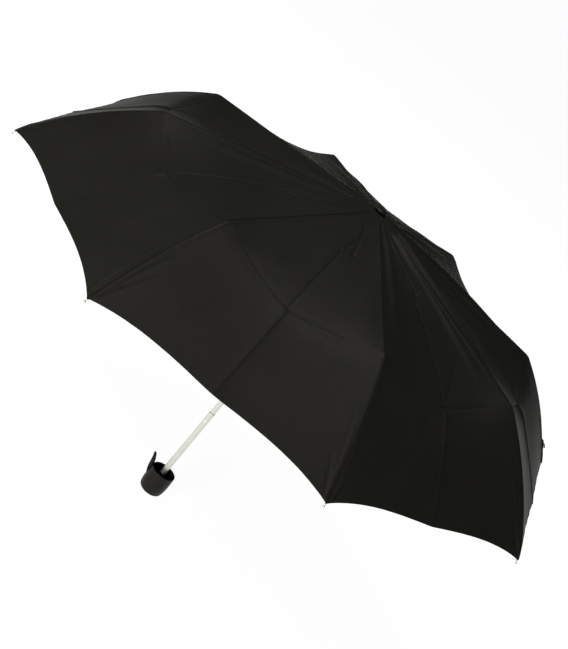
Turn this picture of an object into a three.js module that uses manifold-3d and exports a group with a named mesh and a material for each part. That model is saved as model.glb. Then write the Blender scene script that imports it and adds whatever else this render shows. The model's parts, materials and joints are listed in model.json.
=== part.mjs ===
// A compact folding umbrella, open and upright: a two-slide telescopic shaft, eight three-part
// folding ribs on a crown, eight stretchers on a sliding runner, and one canopy over them all.
// Millimetres, +Z up along the shaft, origin at the centre of the handle's flat bottom.
// Each rib is drawn in the plane of azimuth 0 (X outwards, Z up, Y across) and then turned.

import * as THREE from 'three';
import { mergeVertices } from 'three/addons/utils/BufferGeometryUtils.js';
import Module from 'manifold-3d';

const wasm = await Module();
wasm.setup();

// ---------------------------------------------------------------- driving dimensions

const RIBS = 8;
const STEP = (2 * Math.PI) / RIBS;
const ROUND = 24; // sides of the shaft's round pieces

const APEX_Z = 571; // top of the fabric at its centre
const HINGE_R = 9.5; // top ribs' hinge, out from the shaft's axis
const HINGE_Z = 561;
const KNEE = { r: 327.8, z: 516.5 }; // fabric over the bend of a rib
const TIP = { r: 475, z: 378.2 }; // fabric's corner at a rib's end
const BOW = 10; // outward bow of the outer rib
const MID_R = { knee: 303, hem: 436 }; // middle of a gore, beside the knee and at the hem

const TOP_RIB = 160;
const MID_RIB = 160.3;
const BAR_HALF = 1.2; // half the height of a rib's bar
const TONGUE = 2.6; // width of a bar and of the tongue at its hinge
const EAR_GAP = 3.2; // between the two ears that straddle a tongue
const EAR = 0.8; // thickness of an ear
const EYE = 1.9; // outside radius round a hinge
const PIN = { r: 0.8, length: 5.6 };
const PIN_HOLE = 1.2;
const FOLD_UP = 2.0; // hinge above the bars, between top and middle rib
const FOLD_UNDER = 1.8; // hinge below the bars, at the knee
const LINK_AT = 78; // where the stretcher meets the top rib
const LINK_DROP = 2;

const RUNNER_R = 8; // stretchers' hinge on the runner
const RUNNER_Z = 510.2;
const WIRE = 0.5; // radius of the hinge wires
const WIRE_HOLE = 0.85;
const GROOVE = 0.85; // half the height of the wires' grooves
const SLOT = 3.3; // width of the links' slots in crown and runner

const TUBES = {
  lower_tube: { out: 4.8, bore: 4.45, low: 5.3, high: 168 },
  mid_tube: { out: 4.2, bore: 3.85, low: 148, high: 353 },
  upper_tube: { out: 3.6, bore: 3.2, low: 333, high: 560 },
};

const CUP = { out: 20, belly: 20.6, inner: 18, rim: 41, base: 11, socket: 6.8, socketTop: 20 };
const HOOK = { root: 24.5, top: 57.8, gap: 0.4, lean: 7, flare: 8.6, rootHalf: 5, endHalf: 2.4 };
const HOOK_AZIMUTH = THREE.MathUtils.degToRad(115);
const BUTTON_AZIMUTH = STEP / 2;
const STRAP_RIB = 7;

// ---------------------------------------------------------------- materials

const material = (color, roughness, metalness) =>
  new THREE.MeshStandardMaterial({ color, roughness, metalness });
const FABRIC = material(0x24231f, 0.85, 0);
const BLACK = material(0x1b1b1a, 0.45, 0);
const CHROME = material(0xdadadb, 0.18, 1);
const STEEL = material(0xb4b6b8, 0.35, 1);
const TIP_METAL = material(0xd9d2bf, 0.4, 0.6);

// ---------------------------------------------------------------- solids

/** A closed solid from a geometry: its shared corners joined, and no triangle without area. */
function toSolid(geometry) {
  const bare = geometry.clone();
  bare.deleteAttribute('normal');
  bare.deleteAttribute('uv');
  const merged = mergeVertices(bare, 1e-4);
  const index = merged.index.array;
  const kept = [];
  for (let i = 0; i < index.length; i += 3) {
    const [a, b, c] = [index[i], index[i + 1], index[i + 2]];
    if (a !== b && b !== c && c !== a) kept.push(a, b, c);
  }
  return new wasm.Manifold(new wasm.Mesh({
    numProp: 3,
    vertProperties: merged.attributes.position.array,
    triVerts: new Uint32Array(kept),
  }));
}

function toMesh(name, solid, look) {
  const { vertProperties, triVerts } = solid.getMesh();
  const geometry = new THREE.BufferGeometry();
  geometry.setAttribute('position', new THREE.BufferAttribute(new Float32Array(vertProperties), 3));
  geometry.setIndex(new THREE.BufferAttribute(new Uint32Array(triVerts), 1));
  geometry.computeVertexNormals();
  const mesh = new THREE.Mesh(geometry, look);
  mesh.name = name;
  return mesh;
}

const join = (...solids) => solids.reduce((whole, next) => whole.add(next));
const cut = (solid, ...tools) => tools.reduce((whole, next) => whole.subtract(next), solid);

/** A turned solid: the profile is pairs of radius and height, up its outer side. */
function turned(profile, sides = ROUND, firstAngle = 0) {
  const points = profile.map(([r, z]) => new THREE.Vector2(r, z));
  const lathe = new THREE.LatheGeometry(points, sides, firstAngle);
  lathe.rotateX(Math.PI / 2);
  return toSolid(lathe);
}

/** A plate in the plane of azimuth 0: outline in radius and height, with round holes. */
function plate(outline, width, holes = [], centreY = 0) {
  const shape = new THREE.Shape(outline);
  for (const hole of holes) shape.holes.push(new THREE.Path(disc(hole.at, hole.r, 6)));
  const geometry = new THREE.ExtrudeGeometry(shape, { depth: width, bevelEnabled: false });
  geometry.rotateX(Math.PI / 2);
  geometry.translate(0, centreY + width / 2, 0);
  return toSolid(geometry);
}

function block(lowX, highX, width, lowZ, highZ) {
  const geometry = new THREE.BoxGeometry(highX - lowX, width, highZ - lowZ);
  geometry.translate((lowX + highX) / 2, 0, (lowZ + highZ) / 2);
  return toSolid(geometry);
}

/** A closed skin over a row of rings with equal numbers of points. */
function loft(rings) {
  const across = rings[0].length;
  const corners = rings.flat();
  const faces = [];
  for (let i = 0; i + 1 < rings.length; i += 1) {
    for (let j = 0; j < across; j += 1) {
      const [a, b] = [i * across + j, i * across + ((j + 1) % across)];
      faces.push(a, b, b + across, a, b + across, a + across);
    }
  }
  const last = (rings.length - 1) * across;
  for (let j = 1; j + 1 < across; j += 1) {
    faces.push(0, j + 1, j, last, last + j, last + j + 1);
  }
  const geometry = new THREE.BufferGeometry();
  const numbers = corners.flatMap((p) => [p.x, p.y, p.z]);
  geometry.setAttribute('position', new THREE.Float32BufferAttribute(numbers, 3));
  geometry.setIndex(faces);
  return toSolid(geometry);
}

const turn = (solid, angle) => solid.rotate([0, 0, THREE.MathUtils.radToDeg(angle)]);

// ---------------------------------------------------------------- lines in a rib's plane

const vec = (x, y) => new THREE.Vector2(x, y);

/** A line from a point at an angle, and points along it and square to it. */
function ray(origin, angle) {
  const along = vec(Math.cos(angle), Math.sin(angle));
  const up = vec(-along.y, along.x);
  const at = (distance, rise = 0) =>
    origin.clone().addScaledVector(along, distance).addScaledVector(up, rise);
  return { along, up, at, angle };
}

const disc = (centre, radius, sides = 8) =>
  Array.from({ length: sides }, (_, i) => {
    const angle = ((i + 0.5) * 2 * Math.PI) / sides;
    return vec(centre.x + radius * Math.cos(angle), centre.y + radius * Math.sin(angle));
  });

const bar = (line, from, to, rise = 0, half = BAR_HALF) => [
  line.at(from, rise - half), line.at(to, rise - half),
  line.at(to, rise + half), line.at(from, rise + half),
];

const hinge = vec(HINGE_R, HINGE_Z);
const kneeUnder = vec(325.9, 511.4); // rib's bar under the bend
const spine = ray(hinge, Math.atan2(kneeUnder.y - hinge.y, kneeUnder.x - hinge.x));
const foldPivot = spine.at(TOP_RIB, FOLD_UP);
const kneePivot = spine.at(TOP_RIB + MID_RIB, -FOLD_UNDER);
const tipEnd = vec(472.3, 375.7);
const outerLine = ray(
  kneePivot,
  Math.atan2(tipEnd.y - kneePivot.y, tipEnd.x - kneePivot.x)
    - FOLD_UNDER / kneePivot.distanceTo(tipEnd),
);
const OUTER_RIB = kneePivot.distanceTo(tipEnd);
const linkPivot = spine.at(LINK_AT, -LINK_DROP);
const runnerPivot = vec(RUNNER_R, RUNNER_Z);
const stretcherLine = ray(
  runnerPivot,
  Math.atan2(linkPivot.y - runnerPivot.y, linkPivot.x - runnerPivot.x),
);
const STRETCHER = runnerPivot.distanceTo(linkPivot);

/** Pin across a tongue, through the ears of the next link. */
const pin = (centre) => plate(disc(centre, PIN.r, 6), PIN.length);

/** Two ears round a hinge, and the block that ties them to a bar lying beside the hinge. */
function ears(line, pivotToBar) {
  const [near, far] = [4.2, 8.5];
  const low = pivotToBar - BAR_HALF;
  const high = pivotToBar + BAR_HALF;
  const back = [90, 135, 180, 225, 270].map((degrees) => {
    const angle = THREE.MathUtils.degToRad(degrees);
    return line.at(EYE * Math.cos(angle), EYE * Math.sin(angle));
  });
  const outline = [...back, line.at(far, low), line.at(far, high)];
  const hole = [{ at: line.at(0), r: PIN_HOLE }];
  const side = (EAR_GAP + EAR) / 2;
  return join(
    plate(outline, EAR, hole, side),
    plate(outline, EAR, hole, -side),
    plate(bar(line, near, far, pivotToBar), EAR_GAP + 2 * EAR),
  );
}

// ---------------------------------------------------------------- ribs and stretchers

function topRib() {
  const wireHole = plate(disc(hinge, WIRE_HOLE, 6), TONGUE + 1);
  const body = join(
    plate(disc(hinge, EYE), TONGUE),
    plate(bar(spine, 0, TOP_RIB), TONGUE),
    plate(disc(linkPivot, 1.6), TONGUE),
    plate(disc(foldPivot, EYE), TONGUE),
    pin(foldPivot),
  );
  return cut(body, wireHole);
}

function midRib() {
  const line = ray(foldPivot, spine.angle);
  return join(
    ears(line, -FOLD_UP),
    plate(bar(line, 6, MID_RIB, -FOLD_UP), TONGUE),
    plate(disc(kneePivot, EYE), TONGUE),
    pin(kneePivot),
  );
}

/** Height of the outer rib's bow above its chord. */
const bowAt = (share) => 4 * BOW * share * (1 - share);

function outerRib() {
  const steps = 8;
  const [from, to] = [6, OUTER_RIB - 7];
  const row = (half) =>
    Array.from({ length: steps + 1 }, (_, i) => {
      const distance = from + ((to - from) * i) / steps;
      return outerLine.at(distance, FOLD_UNDER + bowAt(distance / OUTER_RIB) + half);
    });
  const outline = [...row(-BAR_HALF), ...row(BAR_HALF).reverse()];
  return join(ears(outerLine, FOLD_UNDER), plate(outline, TONGUE));
}

/** Ball-ended metal tip on the outer rib, along the rib's last direction. */
function ribTip() {
  const length = 12;
  const profile = [
    [0, 0], [1.3, 0], [1.5, 0.6], [1.5, 7], [1.1, 8.4], [1.3, 9.6], [1.6, 10.6], [1.2, 11.6],
    [0, length],
  ];
  const tip = turned(profile, 10);
  const slope = Math.atan(-4 * BOW / OUTER_RIB);
  const angle = outerLine.angle + slope;
  const start = OUTER_RIB - 6.4;
  const at = outerLine.at(start, FOLD_UNDER + bowAt(start / OUTER_RIB));
  return tip.rotate([0, 90 - THREE.MathUtils.radToDeg(angle), 0]).translate([at.x, 0, at.y]);
}

function stretcher() {
  const half = 1.1;
  const side = (EAR_GAP + EAR) / 2;
  const [near, far] = [11, 16];
  const arm = bar(stretcherLine, near, STRETCHER, 0, half);
  const oneSide = (y) => join(
    plate(arm, EAR, [], y),
    plate(disc(linkPivot, 1.6), EAR, [], y),
  );
  const rivetHole = plate(disc(linkPivot, 0.9, 6), 8);
  const wireHole = plate(disc(runnerPivot, WIRE_HOLE, 6), TONGUE + 1);
  const body = join(
    plate(disc(runnerPivot, 1.7), TONGUE),
    plate(bar(stretcherLine, 0, far, 0, half), TONGUE),
    plate(bar(stretcherLine, near, far, 0, half), EAR_GAP + 2 * EAR),
    oneSide(side),
    oneSide(-side),
  );
  return cut(body, rivetHole, wireHole);
}

// ---------------------------------------------------------------- crown and runner

/** Eight slots for the links' tongues. */
const slots = (from, to, low, high) =>
  Array.from({ length: RIBS }, (_, i) => turn(block(from, to, SLOT, low, high), i * STEP));

/** The wire that threads all eight links: straight between corners, so each link can turn. */
function hingeWire(radius, height) {
  const corner = radius / Math.cos(STEP / 2);
  const section = disc(vec(corner, height), WIRE, 6).map((p) => [p.x, p.y]);
  return turned([...section, section[0]], RIBS, Math.PI / 2 + STEP / 2);
}

function crown() {
  const profile = [
    [0, 562], [3.9, 562], [3.9, 551], [7, 551], [7, 555], [11.4, 556], [12, 557],
    [12, HINGE_Z - GROOVE], [HINGE_R - 0.95, HINGE_Z - GROOVE],
    [HINGE_R - 0.95, HINGE_Z + GROOVE], [12, HINGE_Z + GROOVE],
    [12, 565], [11, 566], [0, 566],
  ];
  return cut(turned(profile), ...slots(7.2, 13, 550, 563.4));
}

const crownWasher = () => turned([[3.4, 566.3], [9.5, 566.3], [9.5, 567.3], [3.4, 567.3], [3.4, 566.3]]);

/** Low round cap on a stem, which holds the fabric down on the crown. */
function crownCap() {
  return turned([
    [0, 566.3], [3, 566.3], [3, 571.4], [9.4, 571.4], [10.2, 572.2], [10.2, 573.5], [9.3, 574.7],
    [7, 575.5], [3.6, 575.9], [0, 576],
  ]);
}

function runner() {
  const z = RUNNER_Z;
  const profile = [
    [5.1, z - 28], [6.6, z - 28], [7.2, z - 27], [8.6, z - 26], [8.6, z - 12], [7, z - 10],
    [7, z - 5], [10, z - 3.4], [10, z - GROOVE], [7.05, z - GROOVE], [7.05, z + GROOVE],
    [10, z + GROOVE], [10, z + 2.2], [5.1, z + 2.2], [5.1, z - 28],
  ];
  const pocket = turn(block(6.1, 12, 6.6, z - 24, z - 14), BUTTON_AZIMUTH);
  return cut(turned(profile), pocket, ...slots(6.1, 12, z - 2.1, z + 4));
}

/** The release button, a crowned pad in the runner's pocket. */
function releaseButton() {
  const z = RUNNER_Z - 19;
  const outline = [
    vec(7.5, z - 4.6), vec(9.2, z - 4.6), vec(9.8, z - 3), vec(10.1, z),
    vec(9.8, z + 3), vec(9.2, z + 4.6), vec(7.5, z + 4.6),
  ];
  return turn(plate(outline, 6), BUTTON_AZIMUTH);
}

/** The bowed leaf behind the button. */
function releaseSpring() {
  const z = RUNNER_Z - 19;
  const leaf = [
    vec(6.3, z - 4.2), vec(6.6, z - 4.2), vec(7.1, z), vec(6.6, z + 4.2), vec(6.3, z + 4.2),
    vec(6.8, z),
  ];
  return turn(plate(leaf, 2.4), BUTTON_AZIMUTH);
}

const tube = ({ out, bore, low, high }) =>
  turned([[bore, low], [out, low], [out, high], [bore, high], [bore, low]]);

// ---------------------------------------------------------------- handle

function handleCup() {
  const { out, belly, inner, rim, base, socket, socketTop } = CUP;
  return turned([
    [0, 0], [base, 0], [15, 1.6], [18, 5.2], [19.6, 11], [belly, 20], [20.5, 30], [out, rim - 0.6],
    [out - 0.7, rim], [inner + 0.5, rim], [inner, rim - 0.6], [18.3, 30], [18.3, 20], [17.3, 11.5],
    [15.2, 6.6], [12, 4.2], [socket, 3.6], [socket, socketTop], [5.1, socketTop], [5.1, 5], [0, 5],
  ]);
}

/** The finger hook: a horn that rises off the cup's side, wide at its root and leaning outwards. */
function thumbHook() {
  const { root, top, gap, lean, flare, rootHalf, endHalf } = HOOK;
  const stations = 10;
  const corners = 10;
  const wall = CUP.belly + gap;
  const rings = Array.from({ length: stations }, (_, i) => {
    const share = i / (stations - 1);
    const near = wall + lean * Math.max(0, 2 * share - 1) ** 1.4;
    const far = wall + 0.6 + flare * share ** 0.8;
    const half = THREE.MathUtils.lerp(rootHalf, endHalf, THREE.MathUtils.smoothstep(share, 0, 1));
    const end = i === 0 || i === stations - 1 ? 0.7 : 1;
    return Array.from({ length: corners }, (_, j) => {
      const angle = ((j + 0.5) * 2 * Math.PI) / corners;
      return new THREE.Vector3(
        (near + far) / 2 + ((far - near) / 2) * end * Math.cos(angle),
        half * end * Math.sin(angle),
        root + (top - root) * share,
      );
    });
  });
  return turn(loft(rings), HOOK_AZIMUTH);
}

// ---------------------------------------------------------------- canopy and its strap

/** Fabric over a rib: share runs 0 to 1 from centre to knee, and 1 to 2 from knee to corner. */
function overRib(share) {
  if (share <= 1) return vec(KNEE.r * share, APEX_Z + (KNEE.z - APEX_Z) * share);
  const out = share - 1;
  const chord = ray(vec(KNEE.r, KNEE.z), Math.atan2(TIP.z - KNEE.z, TIP.r - KNEE.r));
  return chord.at(out * Math.hypot(TIP.r - KNEE.r, TIP.z - KNEE.z), bowAt(out));
}

/** Fabric along the middle of a gore, where it sags between its two ribs. */
function midGore(share) {
  if (share <= 1) {
    const r = MID_R.knee * share;
    return vec(r, APEX_Z - 0.19 * r - 14 * share ** 4);
  }
  const out = share - 1;
  const r = MID_R.knee + (MID_R.hem - MID_R.knee) * out;
  return vec(r, APEX_Z - 71.6 - 50 * out - 54 * out ** 2 - 8.5 * out ** 3);
}

/** A point of the fabric's outer face: gore is 0 on a rib and 1 at the middle of the gore. */
function fabricPoint(share, azimuthOfRib, gore, side) {
  const edge = overRib(share);
  const middle = midGore(share);
  const towards = gore * (1.25 - 0.25 * gore);
  const azimuth = azimuthOfRib + (side * STEP) / 2;
  const radial = (p, angle) => new THREE.Vector3(p.x * Math.cos(angle), p.x * Math.sin(angle), p.y);
  const point = radial(edge, azimuthOfRib).lerp(radial(middle, azimuth), gore);
  point.z += (middle.y - edge.y) * (towards - gore);
  return point;
}

/** The whole canopy: one closed skin with a small hole at the centre for the cap's stem. */
function canopy() {
  const thickness = 1.2; // measured straight down
  const shares = [0.0117, 0.1, 0.3, 0.5, 0.7, 0.85, 1, 1.14, 1.28, 1.42, 1.56, 1.7, 1.85, 2];
  const columns = [];
  for (let rib = 0; rib < RIBS; rib += 1) {
    for (const gore of [0, 1 / 3, 2 / 3]) columns.push([rib * STEP, gore, 1]);
    for (const gore of [1, 2 / 3, 1 / 3]) columns.push([(rib + 1) * STEP, gore, -1]);
  }
  const points = [];
  for (const drop of [0, thickness]) {
    for (const share of shares) {
      for (const [azimuth, gore, side] of columns) {
        const p = fabricPoint(share, azimuth, gore, side);
        points.push(p.x, p.y, p.z - drop);
      }
    }
  }
  const across = columns.length;
  const under = shares.length * across;
  const last = (shares.length - 1) * across;
  const faces = [];
  const quad = (a, b, c, d) => faces.push(a, b, c, a, c, d);
  for (let j = 0; j < across; j += 1) {
    const k = (j + 1) % across;
    for (let i = 0; i + 1 < shares.length; i += 1) {
      const [near, far] = [i * across, (i + 1) * across];
      quad(near + j, far + j, far + k, near + k);
      quad(under + near + j, under + near + k, under + far + k, under + far + j);
    }
    quad(j, k, under + k, under + j);
    quad(last + j, under + last + j, under + last + k, last + k);
  }
  const geometry = new THREE.BufferGeometry();
  geometry.setAttribute('position', new THREE.Float32BufferAttribute(points, 3));
  geometry.setIndex(faces);
  return toSolid(geometry);
}

const STRAP = { from: 1.77, to: 1.97, half: 6, gap: 1.3, thickness: 0.9 };

/** The closing strap, snapped back on itself and lying over the end of one rib. */
function tieStrap() {
  const stations = 5;
  const azimuth = (STRAP_RIB % RIBS) * STEP;
  const rings = Array.from({ length: stations }, (_, i) => {
    const share = STRAP.from + ((STRAP.to - STRAP.from) * i) / (stations - 1);
    const across = [-STRAP.half, 0, STRAP.half].map((offset) => {
      const gore = Math.abs(offset) / (overRib(share).x * Math.sin(STEP / 2));
      return fabricPoint(share, azimuth, gore, Math.sign(offset) || 1);
    });
    const out = outerLine.up;
    const lift = (p, height) => new THREE.Vector3(
      p.x + height * out.x * Math.cos(azimuth),
      p.y + height * out.x * Math.sin(azimuth),
      p.z + height * out.y,
    );
    const low = across.map((p) => lift(p, STRAP.gap));
    const high = across.map((p) => lift(p, STRAP.gap + STRAP.thickness));
    return [...low, ...high.reverse()];
  });
  return loft(rings);
}

function strapSnap() {
  const share = 1.81;
  const step = 0.01;
  const ahead = overRib(share + step).sub(overRib(share - step));
  const slope = ray(overRib(share), Math.atan2(ahead.y, ahead.x));
  const foot = slope.at(0, STRAP.gap + STRAP.thickness + 0.4);
  const snap = turned([[0, 0], [4, 0], [4.4, 0.5], [3.6, 1.3], [1.6, 1.6], [0, 1.6]], 16);
  return turn(
    snap.rotate([0, -THREE.MathUtils.radToDeg(slope.angle), 0]).translate([foot.x, 0, foot.y]),
    (STRAP_RIB % RIBS) * STEP,
  );
}

// ---------------------------------------------------------------- assembly

const group = new THREE.Group();
const place = (name, solid, look) => group.add(toMesh(name, solid, look));

place('handle_cup', handleCup(), BLACK);
place('thumb_hook', thumbHook(), BLACK);
for (const [name, size] of Object.entries(TUBES)) place(name, tube(size), CHROME);
place('crown', crown(), BLACK);
place('crown_wire', hingeWire(HINGE_R, HINGE_Z), STEEL);
place('crown_washer', crownWasher(), BLACK);
place('crown_cap', crownCap(), BLACK);
place('runner', runner(), BLACK);
place('runner_wire', hingeWire(RUNNER_R, RUNNER_Z), STEEL);
place('release_button', releaseButton(), BLACK);
place('release_spring', releaseSpring(), STEEL);
place('canopy', canopy(), FABRIC);
place('tie_strap', tieStrap(), FABRIC);
place('strap_snap', strapSnap(), STEEL);

const ribPieces = {
  top_rib: [topRib(), STEEL],
  mid_rib: [midRib(), STEEL],
  outer_rib: [outerRib(), STEEL],
  rib_tip: [ribTip(), TIP_METAL],
  stretcher: [stretcher(), STEEL],
};
for (let rib = 1; rib <= RIBS; rib += 1) {
  for (const [name, [solid, look]] of Object.entries(ribPieces)) {
    place(`${name}_${rib}`, turn(solid, (rib % RIBS) * STEP), look);
  }
}

export default group;
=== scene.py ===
"""A compact folding umbrella, open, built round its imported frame.

The canopy is one sheet, worked out as a single grid from the ribs and then cut along its seams
and folds, so that each part can ride on its own rib and fold away with it. Ribs and stretchers
are drawn in the plane of azimuth 0, as (distance from the shaft, height), and then turned.
"""

import json
import math

import bpy
import numpy as np
from mathutils import Matrix, Vector


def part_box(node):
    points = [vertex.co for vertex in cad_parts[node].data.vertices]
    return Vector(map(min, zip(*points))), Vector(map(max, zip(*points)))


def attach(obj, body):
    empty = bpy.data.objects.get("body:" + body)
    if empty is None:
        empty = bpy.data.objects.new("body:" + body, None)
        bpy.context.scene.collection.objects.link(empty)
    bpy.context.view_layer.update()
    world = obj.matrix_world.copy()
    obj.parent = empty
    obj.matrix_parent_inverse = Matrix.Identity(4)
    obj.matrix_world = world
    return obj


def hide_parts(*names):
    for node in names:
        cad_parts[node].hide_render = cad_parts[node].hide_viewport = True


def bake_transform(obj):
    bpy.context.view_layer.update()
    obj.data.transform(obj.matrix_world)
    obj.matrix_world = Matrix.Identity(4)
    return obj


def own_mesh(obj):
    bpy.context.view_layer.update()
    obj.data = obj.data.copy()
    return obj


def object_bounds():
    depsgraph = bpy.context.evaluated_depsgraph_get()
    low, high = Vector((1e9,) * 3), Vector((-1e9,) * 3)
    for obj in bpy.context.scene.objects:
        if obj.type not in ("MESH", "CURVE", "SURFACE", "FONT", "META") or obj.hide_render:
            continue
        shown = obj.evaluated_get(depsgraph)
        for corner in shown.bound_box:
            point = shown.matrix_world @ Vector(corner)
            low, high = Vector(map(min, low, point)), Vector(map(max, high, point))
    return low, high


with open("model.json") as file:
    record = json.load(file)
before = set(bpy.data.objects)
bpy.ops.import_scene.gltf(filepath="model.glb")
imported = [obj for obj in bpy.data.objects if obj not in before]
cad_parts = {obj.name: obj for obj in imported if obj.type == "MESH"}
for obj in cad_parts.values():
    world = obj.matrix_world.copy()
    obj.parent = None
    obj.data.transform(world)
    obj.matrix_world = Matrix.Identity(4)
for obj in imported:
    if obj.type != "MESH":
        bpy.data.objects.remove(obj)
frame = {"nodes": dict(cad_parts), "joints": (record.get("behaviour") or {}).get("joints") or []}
CAD_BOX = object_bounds()

# ------------ sizes from the frame

RIBS = 8
STEP = 2 * math.pi / RIBS
JOINTS = {j["name"]: j for j in frame["joints"]}


def radial(joint):
    """A hinge of the rib at azimuth 0, as (distance from the shaft, height)."""
    x, _, z = JOINTS[joint]["pos_m"]
    return np.array([x, z])


CROWN_HINGE = radial("crown_hinge_8")
FOLD_HINGE = radial("fold_hinge_8")
KNEE_HINGE = radial("knee_hinge_8")
RUNNER_HINGE = radial("runner_hinge_8")

CANOPY_LOW, CANOPY_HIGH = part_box("canopy")
CORNER_RISE = 0.0012  # from the lowest point of the hem up to a corner's cloth
KNEE_COVER = np.array([0.00214, 0.00688])  # from the knee's hinge to the cloth over it
APEX = CANOPY_HIGH.z
TIP = np.array([CANOPY_HIGH.x, CANOPY_LOW.z + CORNER_RISE])
KNEE = KNEE_HINGE + KNEE_COVER
BOW = 0.010  # how far an outer rib rises over a straight line
MIDDLE_KNEE = 0.330  # middle of a gore where its folds meet, out from the shaft
MIDDLE_HEM = 0.436  # middle of a gore at its hem, out from the shaft
OUTER_LENGTH = float(np.hypot(*(TIP - KNEE)))
KNEE_REACH = float(KNEE[0] * math.sin(STEP / 2))  # from a knee to the middle of its gore

# ------------ node materials


class Nodes:
    """A new material and short ways to add and join its nodes."""

    def __init__(self, name):
        self.material = bpy.data.materials.new(name)
        self.material.use_nodes = True
        self.tree = self.material.node_tree
        self.shader = self.tree.nodes["Principled BSDF"]

    def add(self, kind, inputs=None, **settings):
        node = self.tree.nodes.new(kind)
        for key, value in settings.items():
            setattr(node, key, value)
        for key, value in (inputs or {}).items():
            if isinstance(value, bpy.types.NodeSocket):
                self.tree.links.new(value, node.inputs[key])
            else:
                node.inputs[key].default_value = value
        return node

    def link(self, socket, name):
        self.tree.links.new(socket, self.shader.inputs[name])

    def shade(self, **values):
        for key, value in values.items():
            self.shader.inputs[key.replace("_", " ")].default_value = value

    def place(self, scale=(1, 1, 1)):
        """Object coordinates, scaled."""
        coordinates = self.add("ShaderNodeTexCoord").outputs["Object"]
        return self.add("ShaderNodeMapping", {"Vector": coordinates, "Scale": scale}).outputs[0]

    def noise(self, scale, detail=3.0, roughness=0.5, vector=None):
        inputs = {"Scale": scale, "Detail": detail, "Roughness": roughness}
        inputs["Vector"] = vector or self.place()
        return self.add("ShaderNodeTexNoise", inputs).outputs["Fac"]

    def ramp(self, fac, low, high, start=0.3, end=0.7):
        """A colour that goes from low to high as fac goes from start to end."""
        ramp = self.add("ShaderNodeValToRGB", {"Fac": fac})
        for element, place, colour in zip(ramp.color_ramp.elements, (start, end), (low, high)):
            element.position = place
            element.color = (*colour, 1)
        return ramp.outputs["Color"]

    def value(self, fac, low, high):
        """A number that goes from low to high as fac goes from 0 to 1."""
        inputs = {"Value": fac, "To Min": low, "To Max": high}
        return self.add("ShaderNodeMapRange", inputs).outputs["Result"]

    def maths(self, operation, a, b):
        return self.add("ShaderNodeMath", {0: a, 1: b}, operation=operation).outputs[0]

    def bump(self, height, distance, strength, normal=None):
        inputs = {"Height": height, "Distance": distance, "Strength": strength}
        if normal is not None:
            inputs["Normal"] = normal
        return self.add("ShaderNodeBump", inputs).outputs["Normal"]


# Relief of the cloth, as (depth in metres, strength).
SOFT_RELIEF = (0.0004, 0.15)
SLUB_RELIEF = (0.00004, 0.4)
WEAVE_RELIEF = (0.00002, 0.4)
# share of the cloth's colour that the painted shade along a seam takes away
PAINTED_SEAM_SHADE_STRENGTH = 0.8


def fabric_material(name, low, high, threads=1500.0):
    """Water-repellent cloth: plain weave of so many threads a metre, slubs, faint streaks, and
    painted shade along its seams.
    """
    n = Nodes(name)
    uv = n.add("ShaderNodeUVMap", uv_map="cloth").outputs["UV"]
    weave = 1.0
    for direction in "XY":
        inputs = {"Vector": uv, "Scale": threads / (2 * math.pi), "Distortion": 0.4}
        wave = n.add("ShaderNodeTexWave", inputs, bands_direction=direction).outputs["Fac"]
        weave = n.maths("MULTIPLY", wave, weave)
    # painted shade along the seams: a mask carried on the mesh that darkens the base colour
    shade = n.add("ShaderNodeAttribute", attribute_name="painted_seam_shade").outputs["Fac"]
    slubs = n.noise(300.0, 4.0, 0.6)
    streaks = n.noise(8.0, 4.0, 0.55)
    mixed = n.maths("ADD", n.maths("MULTIPLY", slubs, 0.5), n.maths("MULTIPLY", streaks, 0.5))
    # what is left of the colour under the painted seam shade
    kept = n.maths("SUBTRACT", 1.0, n.maths("MULTIPLY", shade, PAINTED_SEAM_SHADE_STRENGTH))
    inputs = {"Color": n.ramp(mixed, low, high, 0.36, 0.64), "Value": kept}
    n.link(n.add("ShaderNodeHueSaturation", inputs).outputs["Color"], "Base Color")
    n.link(n.value(slubs, 0.46, 0.60), "Roughness")
    soft = n.bump(n.noise(48.0, 3.0, 0.5), *SOFT_RELIEF)
    grain = n.bump(slubs, *SLUB_RELIEF, soft)
    n.link(n.bump(weave, *WEAVE_RELIEF, grain), "Normal")
    n.shade(Sheen_Weight=0.02, Sheen_Roughness=0.3, Sheen_Tint=(1.0, 0.95, 0.82, 1))
    n.shade(Specular_IOR_Level=0.09, Specular_Tint=(1.0, 0.96, 0.88, 1))
    return n.material


PLASTIC_ROUGHNESS = (0.42, 0.55)
PLASTIC_RELIEF = (0.00005, 0.5)


def plastic_material(name, low, high):
    """Moulded plastic with a fine spark-eroded grain and faint handling marks."""
    n = Nodes(name)
    n.link(n.ramp(n.noise(40.0, 4.0), low, high), "Base Color")
    n.link(n.value(n.noise(90.0, 5.0, 0.7), *PLASTIC_ROUGHNESS), "Roughness")
    n.link(n.bump(n.noise(1500.0, 2.0), *PLASTIC_RELIEF), "Normal")
    n.shade(Specular_IOR_Level=0.20)
    return n.material


METAL_RELIEF = (0.00002, 0.3)
DRAWN, EVEN = (1, 1, 0.03), (1, 1, 1)  # grain pulled out along Z, and grain alike all ways


def metal_material(name, low, high, rough, grain, metallic=1.0):
    """Plated or drawn metal: a fine grain and slightly uneven gloss."""
    n = Nodes(name)
    lines = n.noise(900.0, 3.0, 0.6, n.place(grain))
    clouds = n.noise(30.0, 3.0)
    n.link(n.ramp(clouds, low, high), "Base Color")
    n.link(n.value(clouds, *rough), "Roughness")
    n.link(n.bump(lines, *METAL_RELIEF), "Normal")
    n.shade(Metallic=metallic)
    return n.material


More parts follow.
